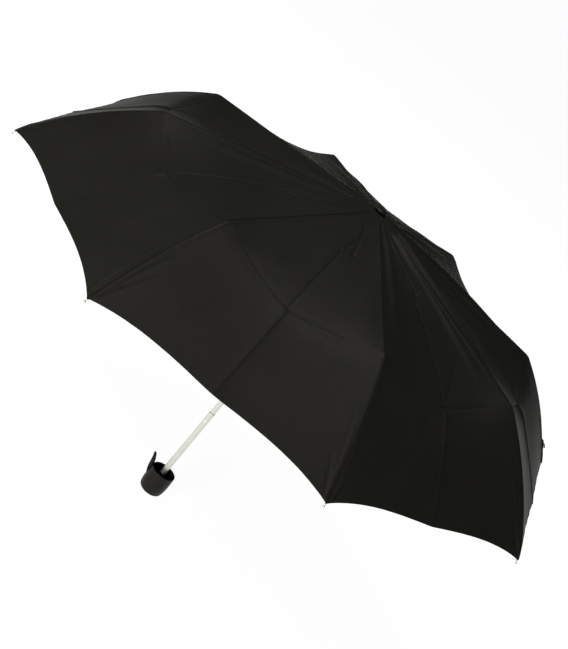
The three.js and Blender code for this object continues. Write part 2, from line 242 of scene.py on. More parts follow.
FABRIC = fabric_material("pongee", (0.0095, 0.0091, 0.0074), (0.0150, 0.0144, 0.0118))
STRAP_CLOTH = fabric_material(
    "strap_cloth", (0.008, 0.0078, 0.0068), (0.012, 0.0117, 0.010), threads=1100.0
)
CUP_BLACK = plastic_material("cup_black", (0.0064, 0.0052, 0.0038), (0.0098, 0.0082, 0.0062))
BLACK = plastic_material("fitting_black", (0.0060, 0.0060, 0.0056), (0.0105, 0.0105, 0.0098))
CHROME = metal_material(
    "chrome", (0.69, 0.68, 0.61), (0.74, 0.73, 0.66), (0.28, 0.34), DRAWN, metallic=0.8
)
ZINC = metal_material("zinc", (0.42, 0.43, 0.44), (0.58, 0.585, 0.59), (0.26, 0.40), EVEN)
NICKEL = metal_material("nickel", (0.78, 0.74, 0.64), (0.88, 0.85, 0.76), (0.22, 0.34), EVEN)

# ------------ mesh helpers


def add_mesh(name, points, faces, material, sharp=None):
    """A new mesh object. Edges that bend by more than sharp degrees stay crisp."""
    mesh = bpy.data.meshes.new(name)
    mesh.from_pydata([tuple(map(float, p)) for p in points], [], [list(map(int, f)) for f in faces])
    mesh.materials.append(material)
    mesh.polygons.foreach_set("use_smooth", [True] * len(mesh.polygons))
    if sharp is not None:
        mesh.set_sharp_from_angle(angle=math.radians(sharp))
    mesh.update()
    obj = bpy.data.objects.new(name, mesh)
    bpy.context.scene.collection.objects.link(obj)
    return obj


def grid_faces(rows, across, closed=False):
    """Quads over a grid of points, row by row; closed joins each row's last point to its first."""
    faces = []
    for i in range(rows - 1):
        here, below = i * across, (i + 1) * across
        for j in range(across if closed else across - 1):
            k = (j + 1) % across
            faces.append((here + j, below + j, below + k, here + k))
    return faces


class Solid:
    """Closed skins, collected and then made into one object."""

    def __init__(self):
        self.points, self.faces = [], []

    def add(self, points, faces):
        start = len(self.points)
        self.points += [np.asarray(p, float) for p in points]
        self.faces += [[start + i for i in face] for face in faces]
        return self

    def skin(self, rings, capped=True):
        """A skin over closed rings with equal numbers of points, and a cap on each end."""
        across = len(rings[0])
        faces = [f[::-1] for f in grid_faces(len(rings), across, closed=True)]
        if capped:
            last = (len(rings) - 1) * across
            faces += [list(range(across))[::-1], [last + j for j in range(across)]]
        return self.add([p for ring in rings for p in ring], faces)

    def turned(self, azimuth):
        """A copy turned about the shaft."""
        c, s = math.cos(azimuth), math.sin(azimuth)
        turn = np.array([[c, -s, 0], [s, c, 0], [0, 0, 1]])
        copy = Solid()
        copy.points = [turn @ p for p in self.points]
        copy.faces = self.faces
        return copy

    def make(self, name, material, sharp=32):
        return add_mesh(name, self.points, self.faces, material, sharp)


def filleted(corners, steps=5):
    """An outline with each corner (x, y, radius) rounded."""
    count = len(corners)
    outline = []
    for i, (x, y, radius) in enumerate(corners):
        here = np.array([x, y])
        before, after = (np.array(corners[(i + d) % count][:2]) for d in (-1, 1))
        into, away = here - before, after - here
        a, b = np.linalg.norm(into), np.linalg.norm(away)
        if radius == 0 or a == 0 or b == 0:
            outline.append(here)
            continue
        reach = min(radius, a / 2.01, b / 2.01)  # so that two corners never meet
        start, end = here - into / a * reach, here + away / b * reach
        for t in np.linspace(0, 1, steps):
            outline.append(start * (1 - t) ** 2 + 2 * here * t * (1 - t) + end * t**2)
    return outline


def divided(line, longest):
    """The line with its long stretches cut into equal steps."""
    points = [line[0]]
    for a, b in zip(line[:-1], line[1:]):
        count = max(1, math.ceil(np.linalg.norm(b - a) / longest))
        points += [a + (b - a) * (k + 1) / count for k in range(count)]
    return points


SMALL_ROUND = 20  # points round a pin, a rivet or a rib's tip


def circle(count):
    """Angles evenly round a full turn."""
    return np.arange(count) * 2 * math.pi / count


def lathe(profile, segments, push=None):
    """A skin turned round Z, through (radius, height) up the outside and down the inside."""
    angles = circle(segments)
    rings = []
    for r, z in profile:
        radii = np.full(segments, max(r, 1e-5))
        if push is not None:
            radii = radii + push(angles, r, z)
        level = np.full(segments, z)
        rings.append(list(np.stack([radii * np.cos(angles), radii * np.sin(angles), level], -1)))
    return Solid().skin(rings, capped=False)


def spin_across(centre, sizes):
    """A round solid across a rib: sizes holds (place across, radius)."""
    rings = []
    for across, radius in sizes:
        ring = []
        for a in circle(SMALL_ROUND):
            out, up = centre[0] + radius * math.cos(a), centre[1] + radius * math.sin(a)
            ring.append((out, across, up))
        rings.append(ring)
    return Solid().skin(rings)


def pin_solid(centre, half_length, radius, edge=0.00025):
    """A round pin or eye across a rib, with eased edges."""
    sizes = ((-half_length, radius - edge), (-half_length + edge, radius))
    sizes += ((half_length - edge, radius), (half_length, radius - edge))
    return spin_across(centre, sizes)


def rivet_solid(centre, half_length, radius=0.0008, head=0.0014):
    """A pin with a low domed head on both ends."""
    dome = [(0, radius), (0, head)]
    dome += [(0.0003, head * 0.9), (0.0005, head * 0.55), (0.00055, head * 0.1)]
    outside = [(half_length + rise, r) for rise, r in dome]
    return spin_across(centre, [(-y, r) for y, r in reversed(outside)] + outside)


def plate_solid(outline, low_y, high_y, edge=0.00015):
    """A flat plate in a rib's plane, with eased edges."""
    points = np.array(outline)
    centre = points.mean(0)
    towards = centre - points
    inner = points + towards / np.linalg.norm(towards, axis=1, keepdims=True) * edge
    layers = ((low_y, inner), (low_y + edge, points), (high_y - edge, points), (high_y, inner))
    return Solid().skin([[(p[0], y, p[1]) for p in line] for y, line in layers])


CHANNEL_HALF_WIDTH = 0.0013


def channel_solid(path, half_height=0.0012, sheet=0.0005):
    """A folded steel channel along a path in a rib's plane, open on its lower side."""
    w, h, t = CHANNEL_HALF_WIDTH, half_height, sheet
    ease = 0.7 * t  # how much its upper edges are bent off
    section = [
        (-w, -h), (-w, h - ease), (-w + ease * 0.3, h - ease * 0.3), (-w + ease, h),
        (w - ease, h), (w - ease * 0.3, h - ease * 0.3), (w, h - ease), (w, -h),
        (w - t, -h), (w - t, h - t), (-w + t, h - t), (-w + t, -h),
    ]
    path = np.array(path)
    along = np.gradient(path, axis=0)
    along /= np.linalg.norm(along, axis=1, keepdims=True)
    rings = []
    for p, d in zip(path, along):
        rings.append([(p[0] - z * d[1], y, p[1] + z * d[0]) for y, z in section])
    return Solid().skin(rings)


def merge(*solids):
    """Several solids as one."""
    whole = Solid()
    for solid in solids:
        whole.add(solid.points, solid.faces)
    return whole


# ------------ the canopy's surface


def edge_line(row):
    """Fabric over a rib, as (out, up): row 0 to 1 is centre to knee, and 1 to 2 knee to corner."""
    row = np.asarray(row, float)
    inner = np.stack([KNEE[0] * row, APEX + (KNEE[1] - APEX) * row], -1)
    out = np.clip(row - 1, 0, None)
    chord = TIP - KNEE
    up = np.array([-chord[1], chord[0]]) / OUTER_LENGTH
    outer = KNEE + chord * out[..., None] + up * (4 * BOW * out * (1 - out))[..., None]
    return np.where(row[..., None] <= 1, inner, outer)


INNER_PITCH, OUTER_PITCH = 0.19, 0.85  # fall for each metre out, before and after the folds
INNER_DROOP, DROOP_REACH = 0.015, 0.303  # what the cloth falls besides, and how far out
FOLDS_FALL = 0.0838  # from the apex down to where the folds meet
OUTER_DROOP = 0.0101


def middle_line(row):
    """Fabric along the middle of a gore, as (out, up): row 1 is where its folds meet."""
    row = np.asarray(row, float)
    r = MIDDLE_KNEE * row
    inner = np.stack([r, APEX - INNER_PITCH * r - INNER_DROOP * (r / DROOP_REACH) ** 4], -1)
    out = np.clip(row - 1, 0, None)
    run = (MIDDLE_HEM - MIDDLE_KNEE) * out
    fall = FOLDS_FALL + OUTER_PITCH * run + OUTER_DROOP * out**2
    outer = np.stack([MIDDLE_KNEE + run, APEX - fall], -1)
    return np.where(row[..., None] <= 1, inner, outer)


def rounded(line, row, radius):
    """The line with its corner at row 1 eased over radius each way, in rows."""
    row = np.asarray(row, float)
    t = np.clip((row - (1 - radius)) / (2 * radius), 0, 1)[..., None]
    a, b, c = line(1 - radius), line(1.0), line(1 + radius)
    curve = a * (1 - t) ** 2 + 2 * b * t * (1 - t) + c * t**2
    near = (np.abs(row - 1) < radius)[..., None]
    return np.where(near, curve, line(row))


def smoothstep(low, high, x):
    """0 up to low and 1 from high on, with a smooth rise between; low may be the larger."""
    t = np.clip((x - low) / (high - low), 0, 1)
    return t * t * (3 - 2 * t)


def swing(p, azimuth):
    """(out, up) turned to an azimuth."""
    return np.stack([p[..., 0] * np.cos(azimuth), p[..., 0] * np.sin(azimuth), p[..., 1]], -1)


def from_rib(x):
    """0 on a rib, 1 at the middle of the gore."""
    return 1 - np.abs(2 * x - 1)


HEM_DRAW, HEM_MIDDLE_DRAW = 0.0085, 0.002


def hem_scallop(half):
    """How far the hem is drawn in between a corner and the middle of its gore."""
    return HEM_DRAW * np.sin(math.pi * half**0.8) + HEM_MIDDLE_DRAW * half


KNEE_EASE, BESIDE_EASE, MIDDLE_EASE = 0.018, 0.17, 0.12  # rounding on a rib, beside it, mid-gore
FULLNESS = 1.45  # 1 leaves a gore straight from its ribs to its middle, and more rounds it


def base_surface(row, x, gore):
    """Points of the taut sheet: row as above, and x from 0 to 1 across gore number gore."""
    half = from_rib(x)
    row = row - np.clip(row - 1, 0, None) * hem_scallop(half) / OUTER_LENGTH
    soft = smoothstep(0.0, 0.4, half)[..., None]
    sharp_edge, soft_edge = (rounded(edge_line, row, ease) for ease in (KNEE_EASE, BESIDE_EASE))
    edge = sharp_edge * (1 - soft) + soft_edge * soft
    middle = rounded(middle_line, row, MIDDLE_EASE)
    a = swing(edge, (gore + np.where(x <= 0.5, 0.0, 1.0)) * STEP)
    b = swing(middle, (gore + 0.5) * STEP)
    points = a + (b - a) * half[..., None]
    ease = 1 - (1 - half) ** FULLNESS
    points[..., 2] += (middle[..., 1] - edge[..., 1]) * (ease - half) * smoothstep(0.02, 0.3, row)
    return points


RANDOM = np.random.default_rng(21)


def waves(count, across, along):
    """A smooth random field over one gore: (x, row) to about -1..1."""
    kx = RANDOM.uniform(0.5, across, count)
    kr = RANDOM.uniform(0.2, along, count)
    phase = RANDOM.uniform(0, 2 * math.pi, count)
    size = RANDOM.uniform(0.4, 1.0, count)

    def field(x, row):
        total = 0
        for a, b, p, s in zip(kx, kr, phase, size):
            total += s * np.sin(2 * math.pi * (a * x + b * row) + p)
        return total / size.sum()

    return field


def crease(distance, width):
    """A pressed line: sharp on the line, with a softer shoulder beside it."""
    near = np.abs(distance)
    return 0.55 * np.exp(-near / width) + 0.45 * np.exp(-near / (width * 4.5))


def segment_distance(px, py, start, end):
    """Distance in metres from points of the flat gore to a straight line in it."""
    (ax, ay), (bx, by) = start, end
    dx, dy = bx - ax, by - ay
    t = np.clip(((px - ax) * dx + (py - ay) * dy) / (dx * dx + dy * dy), 0, 1)
    return np.hypot(px - ax - t * dx, py - ay - t * dy)


GORE_TRAITS = (
    # how slack the gore hangs, how sharply it is pressed towards the knee on either side, and
    # its loose folds there; the first row is the gore between ribs 8 and 1, then 1 and 2
    (0.7, (0.7, 0.9), (0.3, 0.5)),
    (0.5, (0.9, 0.7), (0.4, 0.2)),
    (0.6, (0.8, 0.9), (0.2, 0.3)),
    (0.35, (1.3, 1.1), (0.2, 0.1)),
    (0.25, (0.9, 1.0), (0.1, 0.0)),
    (1.0, (0.5, 1.7), (0.3, 1.0)),
    (0.9, (1.0, 0.6), (0.8, 0.5)),
    (0.7, (0.7, 0.9), (0.6, 0.4)),
)

# Heights of what lies on the taut sheet, in metres.
BROAD_WAVE, FINE_WAVE = 0.0015, 0.00020
SEAM_GROOVE, FELLED_EDGE = 0.0007, 0.00035
MIDDLE_RIDGE, MIDDLE_VALLEY = 0.0015, 0.0014  # along a gore's middle, outside and inside its folds
KNEE_FOLD, SPLAYED_FOLD = 0.0012, 0.0007  # knee to knee, and the second line beside each knee
JOG_FOLD, SHORT_FOLD, SLANTING_FOLD = 0.0016, 0.0011, 0.0010
CORNER_FOLD, HEM_PUCKER = 0.0012, 0.0006

SOFT_WIDTH, FINE_WIDTH = 0.0017, 0.0014  # of a pressed line
CORNER_REACHES = (0.20, 0.14, 0.10)  # how far the folds run up from a corner
LOOSE_FOLDS = (
    # place across the gore by the crown and by the knees, as a share, and height
    (0.40, 0.72, 0.0036),
    (0.75, 0.88, -0.0030),
)


def metres_across(share, row):
    """A share of a gore's width at a row, in metres."""
    return share * 2 * edge_line(row)[..., 0] * math.sin(STEP / 2)


class Gore:
    """The folds and wrinkles of one gore, all drawn from the same kinds in different sizes."""

    def __init__(self, slack, pressed, loose):
        self.slack, self.loose = slack, loose
        self.broad = waves(5, 1.6, 1.2)
        self.fine = waves(9, 7.0, 3.0)
        self.hem = waves(8, 15.0, 0.2)
        self.crown = waves(5, 3.2, 0.25)
        self.tip = [RANDOM.uniform(0.6, 1.25, 3) for _ in range(2)]
        self.jog = RANDOM.uniform(-1, 1, 5)
        self.pair = RANDOM.uniform(0.85, 1.15, 2) * pressed

    def lift(self, row, x):
        """Height of the cloth over the taut sheet, in metres."""
        half = from_rib(x)
        across = metres_across(x - 0.5, row)  # from the gore's middle
        along = np.where(row <= 1, row * KNEE[0], KNEE[0] + (row - 1) * OUTER_LENGTH)
        free = smoothstep(0.0, 0.22, half)  # held at the ribs
        lift = BROAD_WAVE * self.broad(x, row) * free * smoothstep(0.15, 0.5, row)
        lift += FINE_WAVE * self.fine(x, row) * free
        lift += self.folds(row, half, across, along)
        lift += self.tips(row, x)
        lift += self.crown_pleats(row, x)
        lift += self.hem_puckers(row, x, half)
        lift += self.seam(row, x)
        return lift

    def seam(self, row, x):
        """The stitched seam over each rib: a fine groove, and a felled edge on one side of it."""
        side = metres_across(np.where(x <= 0.5, x, x - 1), row)
        groove = -SEAM_GROOVE * np.exp(-np.abs(side) / 0.0012)
        felled = smoothstep(0.0006, 0.0013, side) - smoothstep(0.0048, 0.0060, side)
        return groove + FELLED_EDGE * felled

    def folds(self, row, half, across, along):
        """Pressed and loose folds between the crown, both knees and the hem."""

        def pressed(start, end, width=SOFT_WIDTH):
            return crease(segment_distance(across, along, start, end), width)

        knee, meeting = float(KNEE[0]), 0.5 * float(KNEE[0])
        lines = MIDDLE_RIDGE * crease(across, SOFT_WIDTH) * smoothstep(1.0, 1.02, row)
        lines -= MIDDLE_VALLEY * pressed((0, knee), (0, meeting))
        towards = np.where(across < 0, self.pair[0], self.pair[1])
        lines -= KNEE_FOLD * towards * crease(along - knee, SOFT_WIDTH) * smoothstep(0.1, 0.5, half)
        for side, size in zip((-1, 1), self.pair):
            start = (side * 0.92 * KNEE_REACH, knee + 0.013)
            end = (side * (0.6 - 0.3 * min(size, 1.0)) * KNEE_REACH, knee + 0.007)
            lines -= SPLAYED_FOLD * size * pressed(start, end)
        a, b, c, d, e = self.jog
        bend = (0.010 + 0.006 * a, meeting - 0.013 + 0.004 * b)
        top = (0.006 * c, 0.062 + 0.012 * d)
        lines -= JOG_FOLD * pressed((0, meeting), bend, FINE_WIDTH)
        lines -= JOG_FOLD * pressed(bend, top, FINE_WIDTH)
        start, end = (bend[0] - 0.013, meeting - 0.016), (bend[0] - 0.010, meeting - 0.045)
        lines -= SHORT_FOLD * pressed(start, end, FINE_WIDTH)
        lines += self.loose_folds(across, along, knee)
        start = ((0.35 + 0.1 * e) * KNEE_REACH, knee - 0.085)
        end = (0.05 * KNEE_REACH, knee - 0.012)
        lines -= SLANTING_FOLD * self.slack * pressed(start, end)
        return lines

    def loose_folds(self, across, along, knee):
        """Broad folds that spread from the crown towards each knee."""
        begin = 0.045
        fade = smoothstep(knee - 0.010, knee - 0.150, along)
        lines = 0
        for side, size in zip((-1, 1), self.loose):
            for place, far, height in LOOSE_FOLDS:
                start = (side * place * begin * KNEE_REACH / knee, begin)
                end = (side * far * KNEE_REACH, knee - 0.015)
                off = segment_distance(across, along, start, end) / (0.0035 + 0.015 * along)
                lines += height * size * fade * np.exp(-(off**2))
        return lines

    def tips(self, row, x):
        """Long narrow folds that run from each corner up beside its rib."""
        lift = 0
        for side, sizes in zip((x, 1 - x), self.tip):
            down = np.clip(2 - row, 0, 1) * OUTER_LENGTH + 0.004
            width = metres_across(side, row)
            spread = np.maximum(0.0022, 0.022 * down)
            for order, size in enumerate(sizes):
                reach = CORNER_REACHES[order] * size
                fade = smoothstep(reach, 0.2 * reach, down) * smoothstep(0.0, 0.03, down)
                place = 0.003 + (0.045 + 0.085 * order) * down
                height = CORNER_FOLD * size * fade
                lift += height * np.exp(-(((width - place) / spread) ** 2))
                lift -= 0.7 * height * np.exp(-(((width - place - 1.9 * spread) / spread) ** 2))
        return lift

    def crown_pleats(self, row, x):
        """Wrinkles gathered at the crown, fading as the gore widens."""
        held = smoothstep(0.0, 0.15, x) * smoothstep(0.0, 0.15, 1 - x)
        far = 0.45 + 0.5 * self.slack
        fade = smoothstep(far, 0.1, row) * smoothstep(0.03, 0.2, row)
        return (0.0004 + 0.0026 * self.slack) * held * fade * self.crown(x, row)

    def hem_puckers(self, row, x, half):
        """Small gathers that the hem's stitching draws in."""
        near = np.exp(-(((2 - row) * OUTER_LENGTH / 0.014) ** 2))
        return HEM_PUCKER * near * self.hem(x, row) * smoothstep(0.0, 0.06, half)


GORES = [Gore(*traits) for traits in GORE_TRAITS]

HALF_COLUMNS = 48  # columns of the grid over half a gore, and rows over each part:
CENTRE_ROWS, PETAL_ROWS, TOP_ROWS, MIDDLE_ROWS, OUTER_ROWS = 3, 8, 40, 44, 62
FOLD_ROW = float(FOLD_HINGE[0] / KNEE[0])
CENTRE_ROW = 0.0115  # edge of the hole that the shaft's end passes through
COLLAR_ROW, PETAL_ROW = 0.034, 0.085  # where the petals round the crown begin and end
HEM_WIDTH, HEM_THICKNESS = 0.007, 0.0011
# width of the painted shade along a seam
PAINTED_SEAM_SHADE_WIDTH = 0.0013


def crowded(count, amount):
    """0 to 1 in steps that are closer together at both ends."""
    t = np.linspace(0, 1, count + 1)
    return t - amount * np.sin(2 * math.pi * t) / (2 * math.pi)


def canopy_rows():
    """Row values from the centre hole to the hem, and the row numbers where parts meet."""
    centre = np.linspace(CENTRE_ROW, COLLAR_ROW, CENTRE_ROWS + 1)[:-1]
    petal = np.linspace(COLLAR_ROW, PETAL_ROW, PETAL_ROWS + 1)[:-1]
    top = np.linspace(PETAL_ROW, FOLD_ROW, TOP_ROWS + 1)[:-1]
    middle = FOLD_ROW + (1 - FOLD_ROW) * crowded(MIDDLE_ROWS, 0.55)[:-1]
    outer = 1 + crowded(OUTER_ROWS, 0.55)
    cuts = np.cumsum([0, len(centre), len(petal), len(top), len(middle), len(outer) - 1])
    return np.concatenate([centre, petal, top, middle, outer]), cuts


def canopy_grid():
    """The whole sheet as a closed grid of points [row, column], with its hem turned under."""
    rows, cuts = canopy_rows()
    half = crowded(HALF_COLUMNS, 0.5)[:-1] / 2
    x = np.tile(np.concatenate([half, 0.5 + half]), RIBS)
    gore = np.repeat(np.arange(RIBS), 2 * HALF_COLUMNS)
    R, X = np.meshgrid(rows, x, indexing="ij")
    G = np.broadcast_to(gore, R.shape)
    base = base_surface(R, X, G)
    normals = grid_normals(base)
    lift = np.zeros(R.shape)
    for k, g in enumerate(GORES):
        at = gore == k
        lift[:, at] = g.lift(R[:, at], X[:, at])
    lift *= smoothstep(0.015, 0.06, R)
    points = with_hem(base + normals * lift[..., None])
    # painted shade along the seams, for the cloth's material
    shade = painted_seam_shade(R, X)
    shade = np.pad(shade, ((0, len(points) - len(shade)), (0, 0)))
    return points, shade, cuts


def painted_seam_shade(row, x):
    """How much painted shade darkens the cloth along a seam: 1 on it, less beyond the knee, and 0
    at the crown.
    """
    aside = metres_across(np.minimum(x, 1 - x), row)
    dark = np.exp(-((aside / PAINTED_SEAM_SHADE_WIDTH) ** 2))
    return dark * np.where(row < 1, 1.0, 0.6) * smoothstep(0.03, 0.12, row)


def grid_normals(points):
    """Outward normals of a closed grid, from the differences along its rows and columns."""
    along = np.gradient(points, axis=0)
    across = np.roll(points, -1, 1) - np.roll(points, 1, 1)
    normal = np.cross(along, across)
    return normal / np.maximum(np.linalg.norm(normal, axis=-1, keepdims=True), 1e-12)


def with_hem(points):
    """Adds the rows of the hem: round the edge and back under the cloth."""
    edge, before = points[-1], points[-4]
    inward = before - edge
    inward /= np.linalg.norm(inward, axis=-1, keepdims=True)
    normal = grid_normals(points)[-1]
    half = HEM_THICKNESS / 2
    rows = []
    for angle in (45, 90, 135):
        a = math.radians(angle)
        rows.append(edge - inward * half * math.sin(a) - normal * half * (1 - math.cos(a)))
    rows.append(edge + inward * 0.001 - normal * HEM_THICKNESS)
    rows.append(edge + inward * HEM_WIDTH - normal * (HEM_THICKNESS - 0.0003))
    return np.concatenate([points, np.array(rows)])


def cloth_part(name, sheet, rows, columns):
    """One part of the sheet, with the whole sheet's normals, so that no joint shows."""
    grid, normals, shade = sheet
    row_index = np.arange(rows[0], rows[1] + 1)
    column_index = np.arange(columns[0], columns[1] + 1) % grid.shape[1]
    part = grid[np.ix_(row_index, column_index)]
    across = len(column_index)
    obj = add_mesh(name, part.reshape(-1, 3), grid_faces(len(row_index), across), FABRIC)
    mesh = obj.data
    # the painted shade along the seams goes onto the mesh as a point attribute
    dark = shade[np.ix_(row_index, column_index)].ravel()
    mesh.attributes.new("painted_seam_shade", "FLOAT", "POINT").data.foreach_set("value", dark)
    mesh.normals_split_custom_set_from_vertices(
        normals[np.ix_(row_index, column_index)].reshape(-1, 3).tolist()
    )
    steps = np.linalg.norm(np.diff(part, axis=1), axis=-1)
    widths = np.concatenate([np.zeros((len(part), 1)), np.cumsum(steps, 1)], 1)
    widths -= widths[:, -1:] / 2
    lay_flat(mesh, widths, part[:, across // 2])
    return obj, sheet_size(part)


def lay_flat(mesh, widths, spine):
    """Gives a grid the cloth's own coordinates, in metres: across it, and along its spine."""
    lengths = np.concatenate([[0], np.cumsum(np.linalg.norm(np.diff(spine, axis=0), axis=1))])
    lengths = np.broadcast_to(lengths[:, None], widths.shape)
    flat = np.stack([widths, lengths], -1).reshape(-1, 2)
    layer = mesh.uv_layers.new(name="cloth")
    corner = np.zeros(len(mesh.loops), int)
    mesh.loops.foreach_get("vertex_index", corner)
    layer.data.foreach_set("uv", flat[corner].astype(np.float32).ravel())


LEAST_FULL = 0.31  # a flat part fills at least this share of its width times its length


def sheet_size(part):
    """Width, length and area of a part of the sheet, laid flat."""
    width = float(np.linalg.norm(np.diff(part, axis=1), axis=-1).sum(1).max())
    length = float(np.linalg.norm(np.diff(part, axis=0), axis=-1).sum(0).max())
    down, across = part[1:] - part[:-1], part[:, 1:] - part[:, :-1]
    down, across = (down[:, 1:] + down[:, :-1]) / 2, (across[1:] + across[:-1]) / 2
    area = float(np.linalg.norm(np.cross(down, across), axis=-1).sum())
    return width, length, min(max(area, LEAST_FULL * width * length), width * length)


SEGMENTS = (
    # part, body, row cuts, lean of the folded cloth, share of its width kept, row of the
    # anchor, and how far the folded cloth crosses its rib
    ("top", "top_rib", (2, 3), 0.115, 0.18, 0.5, 0.0),
    ("middle", "mid_rib", (3, 4), 0.20, 0.09, 0.9, 0.0),
    ("outer", "outer_rib", (4, 5), 0.275, 0.11, 1.12, 0.0020),
)


def make_centre(sheet, rows):
    """The collar of cloth that is held round the crown."""
    centre, size = cloth_part("canopy_centre", sheet, rows, (0, sheet[0].shape[1]))
    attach(centre, "upper_tube")
    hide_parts("canopy")


def make_petal(sheet, rows, number, first):
    """Cloth between the collar and a top rib."""
    columns = (first - HALF_COLUMNS, first + HALF_COLUMNS)
    petal, size = cloth_part(f"canopy_{number}_petal", sheet, rows, columns)
    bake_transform(petal)


def make_canopy():
    """The sheet's parts: its centre, and for each rib a petal and three parts on either side."""
    grid, shade, cuts = canopy_grid()
    sheet = (grid, grid_normals(grid), shade)
    last = grid.shape[0] - 1
    make_centre(sheet, (cuts[0], cuts[1]))
    inner_slope = math.atan2(KNEE[1] - APEX, KNEE[0])
    slopes = (inner_slope, inner_slope, math.atan2(TIP[1] - KNEE[1], TIP[0] - KNEE[0]))
    for number in range(1, RIBS + 1):
        first = (number % RIBS) * 2 * HALF_COLUMNS
        make_petal(sheet, (cuts[1], cuts[2]), number, first)
        halves = ((1, "a", (first, first + HALF_COLUMNS)), (-1, "b", (first - HALF_COLUMNS, first)))
        for side, mark, columns in halves:
            for segment, slope in zip(SEGMENTS, slopes):
                part, body, (low, high), lean, keep, anchor_row, crossing = segment
                rows = (cuts[low], last if part == "outer" else cuts[high])
                name = f"canopy_{number}{mark}_{part}"
                obj, size = cloth_part(name, sheet, rows, columns)
                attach(obj, f"{body}_{number}")
                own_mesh(obj)


make_canopy()

# ------------ ribs and stretchers

TOP_LENGTH = 0.160
MIDDLE_LENGTH = 0.1603
FOLD_RISE = 0.002  # hinge over the bars, between top and middle rib
KNEE_DROP = 0.0018  # hinge under the bars, at the knee
LINK_AT, LINK_DROP = 0.078, 0.002  # where the stretcher meets the top rib
EAR_IN, EAR_OUT = 0.0016, 0.0024  # faces of an ear, from a rib's middle plane
EYE = 0.0019  # radius round a hinge
LINK_EYE, RUNNER_EYE = 0.0016, 0.0017  # radii at a stretcher's two ends
EYE_HALF_LENGTH = 0.0013
RIB_RIVET, LINK_RIVET = 0.0024, 0.0026  # half lengths, under the heads
STRETCHER_HALF = 0.0011  # half the height of a stretcher's strips
FORK_START, FORK_END = 0.011, 0.016  # where a stretcher's tongue opens into its strips
OUTER_END = TIP - np.array([0.0027, 0.0025])


class Line:
    """A straight line in a rib's plane, from a point in a direction."""

    def __init__(self, start, angle):
        self.start = np.array(start, float)
        self.along = np.array([math.cos(angle), math.sin(angle)])
        self.up = np.array([-self.along[1], self.along[0]])

    def at(self, distance, rise=0.0):
        """The point so far along the line and so far over it."""
        return self.start + self.along * distance + self.up * rise


def heading(a, b):
    """The angle of the way from a to b."""
    return math.atan2(b[1] - a[1], b[0] - a[0])


SPINE = Line(CROWN_HINGE, heading(CROWN_HINGE, FOLD_HINGE) - math.atan2(FOLD_RISE, TOP_LENGTH))
SPINE_ANGLE = math.atan2(SPINE.along[1], SPINE.along[0])
LINK = SPINE.at(LINK_AT, -LINK_DROP)
OUTER_REACH = float(np.hypot(*(OUTER_END - KNEE_HINGE)))
OUTER = Line(KNEE_HINGE, heading(KNEE_HINGE, OUTER_END) - KNEE_DROP / OUTER_REACH)


def straight(line, start, end, rise=0.0):
    """Points beside a line at even distances of about 10 mm."""
    count = max(2, math.ceil((end - start) / 0.01))
    return [line.at(d, rise) for d in np.linspace(start, end, count)]


def oblong(line, start, end, half, rise=0.0):
    """Corners of an oblong along a line."""
    corners = ((start, -half), (end, -half), (end, half), (start, half))
    return [line.at(d, rise + h) for d, h in corners]


def ears(line, rise):
    """Two ears round a hinge, tied to the bar that lies beside it."""
    half = 0.0012
    turn = np.linspace(0.5, 1.5, 9) * math.pi
    back = [line.at(EYE * math.cos(a), EYE * math.sin(a)) for a in turn]
    outline = back + [line.at(0.0085, rise - half), line.at(0.0085, rise + half)]
    tie = oblong(line, 0.0042, 0.0095, half, rise)
    return merge(
        plate_solid(outline, EAR_IN, EAR_OUT),
        plate_solid(outline, -EAR_OUT, -EAR_IN),
        plate_solid(tie, -EAR_OUT, EAR_OUT),
    )


def top_rib_solid():
    """From the crown to the fold hinge, with the stretcher's joint part of the way along."""
    return merge(
        channel_solid(straight(SPINE, 0.0016, TOP_LENGTH)),
        pin_solid(CROWN_HINGE, EYE_HALF_LENGTH, EYE),
        pin_solid(LINK, EYE_HALF_LENGTH, LINK_EYE),
        rivet_solid(LINK, LINK_RIVET),
        pin_solid(FOLD_HINGE, EYE_HALF_LENGTH, EYE),
        rivet_solid(FOLD_HINGE, RIB_RIVET),
    )


def mid_rib_solid():
    """From the fold hinge to the knee."""
    line = Line(FOLD_HINGE, SPINE_ANGLE)
    return merge(
        ears(line, -FOLD_RISE),
        channel_solid(straight(line, 0.006, MIDDLE_LENGTH, -FOLD_RISE)),
        pin_solid(KNEE_HINGE, EYE_HALF_LENGTH, EYE),
        rivet_solid(KNEE_HINGE, RIB_RIVET),
    )


def outer_bow(distance):
    """The point of the bowed outer rib at a distance from the knee."""
    share = distance / OUTER_REACH
    return OUTER.at(distance, KNEE_DROP + 4 * BOW * share * (1 - share))


def outer_rib_solid():
    """From the knee to the tip's sleeve."""
    path = [outer_bow(d) for d in np.linspace(0.006, OUTER_REACH - 0.007, 24)]
    return merge(ears(OUTER, KNEE_DROP), channel_solid(path))


def rib_tip_solid():
    """Ball-ended tip: a sleeve over the rib's end, a neck that the cloth is sewn to, and a ball."""
    sleeve = [(0, 0.0013), (0.0003, 0.0016), (0.0068, 0.0016), (0.0074, 0.0013), (0.0082, 0.0010)]
    ball = [
        (0.0103 + 0.0017 * -math.cos(a), 0.0017 * math.sin(a)) for a in np.linspace(0.7, math.pi, 9)
    ]
    start, ahead = outer_bow(OUTER_REACH - 0.0064), outer_bow(OUTER_REACH - 0.001)
    line = Line(start, heading(start, ahead))
    rings = []
    for distance, radius in sleeve + ball:
        centre = line.at(distance)
        ring = []
        for a in circle(SMALL_ROUND):
            p = centre + line.up * radius * math.sin(a)
            ring.append((p[0], -radius * math.cos(a), p[1]))
        rings.append(ring)
    return Solid().skin(rings)


